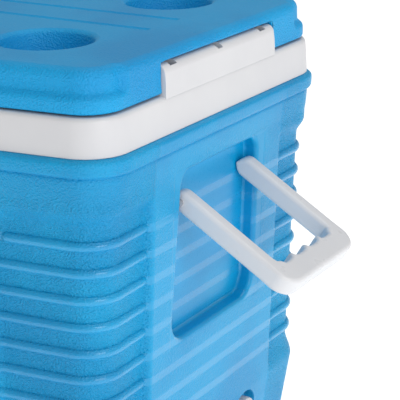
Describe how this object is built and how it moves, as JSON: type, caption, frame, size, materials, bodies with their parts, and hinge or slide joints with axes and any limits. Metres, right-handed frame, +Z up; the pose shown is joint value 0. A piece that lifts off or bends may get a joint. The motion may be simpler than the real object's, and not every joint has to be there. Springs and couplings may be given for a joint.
{
  "type": "wheeled cooler",
  "caption": "Insulated cooler with a hinged lid with cup wells, a folding bail handle on one end, and wheels with a telescoping tow handle on the other.",
  "frame": {"origin": "on the ground, under the middle of the outer box at rest", "axes": "+Z up, +X towards the end with the bail handle and lid hinge, -X towards the wheels and tow handle"},
  "size_m": [0.7124, 0.4138, 0.469],
  "materials": {
    "blue_shell": "textured polyethylene, orange-peel grain",
    "blue_lid": "textured polyethylene, fine grain",
    "white_liner": "smooth white food-grade plastic",
    "white_collar": "satin white plastic",
    "white_handle": "satin white plastic",
    "foam": "rigid polyurethane foam",
    "seal_rubber": "soft grey seal",
    "steel": "zinc-plated steel",
    "tube_metal": "satin anodised aluminium tube",
    "hub_plastic": "moulded light grey plastic",
    "tyre_rubber": "matt black tread rubber",
    "foot_rubber": "matt black rubber",
    "grip_plastic": "satin white plastic"
  },
  "bodies": {
    "cooler": {"body_shell": "blue_shell", "foam_core": "foam", "inner_liner": "white_liner", "rim_collar": "white_collar", "hinge_pin": "steel", "bail_pins": "steel", "drain_spout": "white_collar", "drain_gasket": "seal_rubber", "axle": "steel", "wheel_washers": "steel", "axle_caps": "steel", "foot_left": "foot_rubber", "foot_right": "foot_rubber", "foot_screws": "steel", "tow_bracket_upper": "blue_shell", "tow_bracket_lower": "blue_shell", "tow_screws": "steel", "tow_guide_left": "tube_metal", "tow_guide_right": "tube_metal"},
    "lid": {"lid_shell": "blue_lid", "lid_liner": "white_liner", "lid_foam": "foam", "lid_gasket": "seal_rubber"},
    "bail": {"bail_handle": "white_handle"},
    "drain_cap": {"drain_cap": "white_collar"},
    "wheel_left": {"hub_left": "hub_plastic", "tyre_left": "tyre_rubber"},
    "wheel_right": {"hub_right": "hub_plastic", "tyre_right": "tyre_rubber"},
    "tow_middle": {"tow_tube_left": "tube_metal", "tow_tube_right": "tube_metal"},
    "tow_top": {"tow_rod_left": "tube_metal", "tow_rod_right": "tube_metal", "tow_grip": "grip_plastic"}
  },
  "joints": [
    {"name": "lid_hinge", "type": "hinge", "parent": "cooler", "child": "lid", "pos_m": [0.24633, 0, 0.45], "axis": [0, 1, 0], "range_deg": [0, 95]},
    {"name": "bail_swing", "type": "hinge", "parent": "cooler", "child": "bail", "pos_m": [0.24853, 0, 0.3334], "axis": [0, 1, 0], "range_deg": [-80, 61]},
    {"name": "wheel_left_spin", "type": "hinge", "parent": "cooler", "child": "wheel_left", "pos_m": [-0.25967, 0.152, 0.055], "axis": [0, 1, 0], "continuous": true},
    {"name": "wheel_right_spin", "type": "hinge", "parent": "cooler", "child": "wheel_right", "pos_m": [-0.25967, -0.152, 0.055], "axis": [0, 1, 0], "continuous": true},
    {"name": "tow_middle_slide", "type": "slide", "parent": "cooler", "child": "tow_middle", "axis": [0, 0, 1], "range_m": [0, 0.25]},
    {"name": "tow_top_slide", "type": "slide", "parent": "tow_middle", "child": "tow_top", "axis": [0, 0, 1], "range_m": [0, 0.25]},
    {"name": "drain_cap_pull", "type": "slide", "parent": "cooler", "child": "drain_cap", "axis": [1, 0, 0], "range_m": [0, 0.03]}
  ]
}
